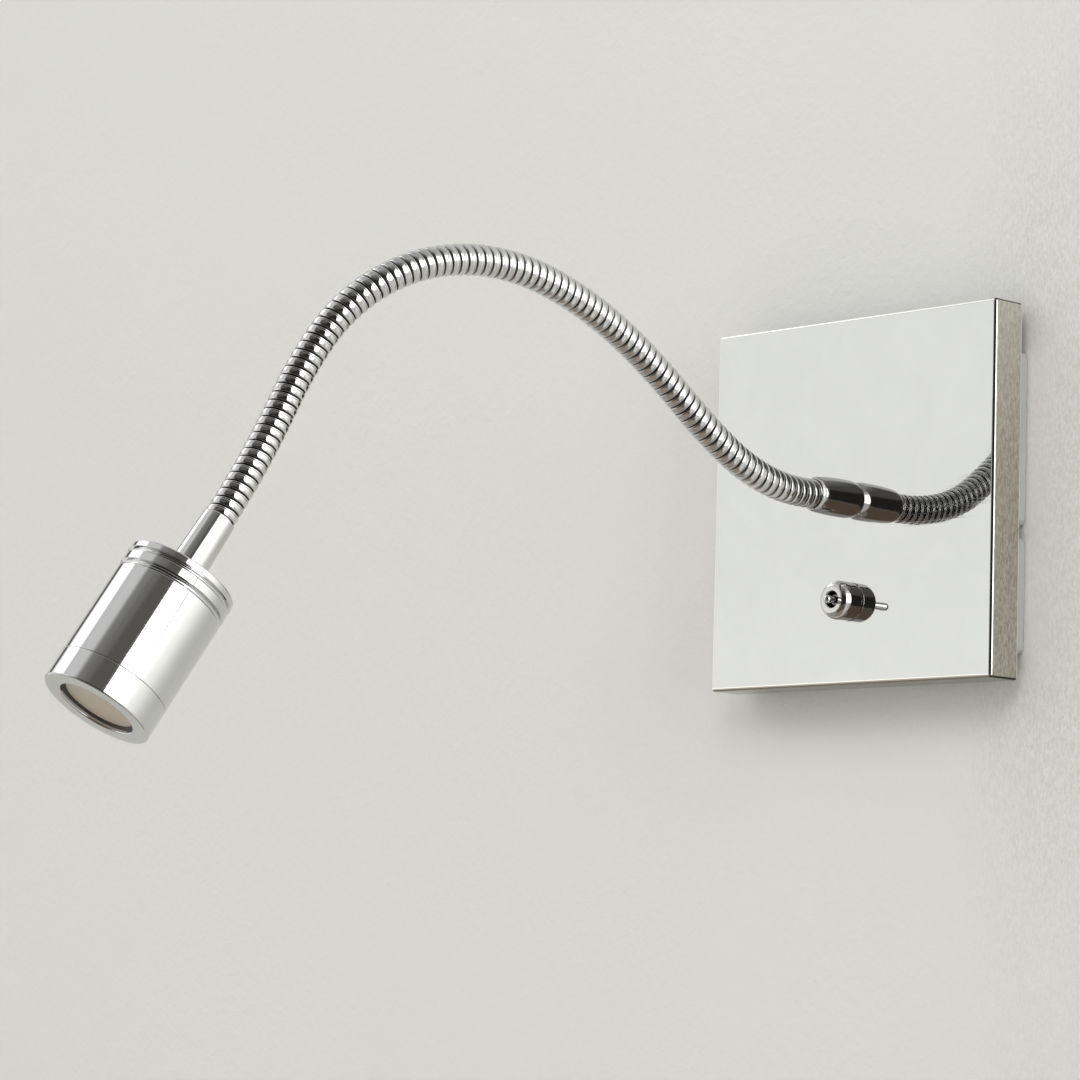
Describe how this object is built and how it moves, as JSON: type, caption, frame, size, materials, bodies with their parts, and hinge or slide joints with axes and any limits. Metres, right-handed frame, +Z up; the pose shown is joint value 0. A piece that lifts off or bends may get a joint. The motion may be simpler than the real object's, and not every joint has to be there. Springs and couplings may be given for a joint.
{
  "type": "wall reading lamp",
  "caption": "Wall reading lamp: square mirror cover, flexible gooseneck arm, small cylindrical spotlight head and a toggle switch below the arm.",
  "frame": {"origin": "on the wall plane, at the middle of the two wall screw slots, behind the centre of the square cover", "axes": "+Z up, +X to the right of a person facing the wall, +Y into the wall; the lamp stands out towards -Y"},
  "size_m": [0.1, 0.2543, 0.1298],
  "materials": {
    "chrome": "mirror polished chrome",
    "chrome_dark": "polished black nickel on the arm collar and switch",
    "gooseneck": "polished chrome on interlocked strip-wound steel",
    "bracket": "moulded pale grey",
    "rubber_black": "matt",
    "spring_steel": "blued spring steel",
    "driver_white": "fine moulded texture",
    "board_green": "solder mask",
    "zinc": "zinc plated",
    "terminal_body": "natural nylon",
    "brass": "turned",
    "wire_brown": "soft pvc",
    "wire_blue": "soft pvc",
    "wire_green": "soft pvc",
    "lead_white": "soft pvc",
    "switch_black": "phenolic",
    "aluminium": "turned",
    "board_white": "white solder mask",
    "phosphor": "silicone phosphor",
    "reflector": "bright anodised",
    "lens": "frosted acrylic diffuser, off",
    "seal": "silicone"
  },
  "bodies": {
    "wall_unit": {"arm_collar": "chrome_dark", "arm_nut": "zinc", "arm_washer": "zinc", "cable_grommet": "rubber_black", "cover_clips": "spring_steel", "cover_plate": "chrome", "driver_board": "board_green", "driver_case": "driver_white", "driver_lead": "lead_white", "driver_lid": "driver_white", "driver_screws": "zinc", "earth_screw": "zinc", "earth_tag": "zinc", "earth_wire": "wire_green", "gooseneck_01": "gooseneck", "lever_pin": "zinc", "live_wires": "wire_brown", "neutral_wire": "wire_blue", "switch_body": "switch_black", "switch_bush": "zinc", "switch_dress_nut": "chrome_dark", "switch_terminals": "brass", "switch_washer": "zinc", "terminal_block": "terminal_body", "terminal_inserts": "brass", "terminal_screws": "zinc", "wall_bracket": "bracket"},
    "arm_02": {"gooseneck_02": "gooseneck"},
    "arm_03": {"gooseneck_03": "gooseneck"},
    "arm_04": {"gooseneck_04": "gooseneck"},
    "arm_05": {"gooseneck_05": "gooseneck"},
    "arm_06": {"gooseneck_06": "gooseneck"},
    "arm_07": {"gooseneck_07": "gooseneck"},
    "arm_08": {"gooseneck_08": "gooseneck"},
    "arm_09": {"gooseneck_09": "gooseneck"},
    "arm_10": {"gooseneck_10": "gooseneck"},
    "arm_11": {"gooseneck_11": "gooseneck"},
    "arm_12": {"gooseneck_12": "gooseneck"},
    "head": {"gooseneck_13": "gooseneck", "neck_ferrule": "chrome", "rear_cap": "chrome", "neck_nut": "zinc", "neck_washer": "zinc", "head_barrel": "chrome", "bezel": "chrome", "lens_seal": "seal", "lens": "lens", "reflector_cup": "reflector", "led_board": "board_white", "led_chip": "phosphor", "heat_sink": "aluminium", "board_screws": "zinc", "head_lead": "lead_white", "head_cores": "wire_brown"},
    "lever": {"toggle_lever": "chrome"}
  },
  "joints": [
    {"name": "arm_bend_01_lift", "type": "hinge", "parent": "wall_unit", "child": "arm_02", "pos_m": [0.00133, -0.04831, 0.0013], "axis": [-0.9998, -0.0178, -0.0006], "range_deg": [-25, 25]},
    {"name": "arm_bend_02_swing", "type": "hinge", "parent": "arm_02", "child": "arm_03", "pos_m": [0.00087, -0.0648, 0.00813], "axis": [0.004, 0.5321, 0.8467], "range_deg": [-25, 25]},
    {"name": "arm_bend_03_lift", "type": "hinge", "parent": "arm_03", "child": "arm_04", "pos_m": [-0.0004, -0.07936, 0.01851], "axis": [-0.9973, 0.0642, -0.0359], "range_deg": [-25, 25]},
    {"name": "arm_bend_04_swing", "type": "hinge", "parent": "arm_04", "child": "arm_05", "pos_m": [-0.00155, -0.09388, 0.02897], "axis": [0.0055, 0.5416, 0.8406], "range_deg": [-25, 25]},
    {"name": "arm_bend_05_lift", "type": "hinge", "parent": "arm_05", "child": "arm_06", "pos_m": [-0.0022, -0.10971, 0.03734], "axis": [-0.9999, 0.0147, -0.007], "range_deg": [-25, 25]},
    {"name": "arm_bend_06_swing", "type": "hinge", "parent": "arm_06", "child": "arm_07", "pos_m": [-0.0029, -0.12666, 0.04309], "axis": [-0.0065, 0.25, 0.9682], "range_deg": [-25, 25]},
    {"name": "arm_bend_07_lift", "type": "hinge", "parent": "arm_07", "child": "arm_08", "pos_m": [-0.00466, -0.14432, 0.04541], "axis": [-0.9907, 0.1323, -0.0315], "range_deg": [-25, 25]},
    {"name": "arm_bend_08_swing", "type": "hinge", "parent": "arm_08", "child": "arm_09", "pos_m": [-0.00765, -0.16175, 0.04287], "axis": [0.08, 0.2782, -0.9572], "range_deg": [-25, 25]},
    {"name": "arm_bend_09_lift", "type": "hinge", "parent": "arm_09", "child": "arm_10", "pos_m": [-0.01229, -0.17695, 0.0348], "axis": [-0.9343, 0.3523, 0.0542], "range_deg": [-25, 25]},
    {"name": "arm_bend_10_swing", "type": "hinge", "parent": "arm_10", "child": "arm_11", "pos_m": [-0.0172, -0.18803, 0.02171], "axis": [0.2706, 0.8012, -0.5338], "range_deg": [-25, 25]},
    {"name": "arm_bend_11_lift", "type": "hinge", "parent": "arm_11", "child": "arm_12", "pos_m": [-0.02014, -0.19599, 0.00593], "axis": [-0.9509, 0.3078, -0.0325], "range_deg": [-25, 25]},
    {"name": "arm_bend_12_swing", "type": "hinge", "parent": "arm_12", "child": "head", "pos_m": [-0.02123, -0.20412, -0.01001], "axis": [0.2881, 0.8235, -0.4887], "range_deg": [-25, 25]},
    {"name": "switch_throw", "type": "hinge", "parent": "wall_unit", "child": "lever", "pos_m": [0.0003, -0.0188, -0.0276], "axis": [0.1754, 0, 0.9845], "range_deg": [-46.2, 0]}
  ]
}
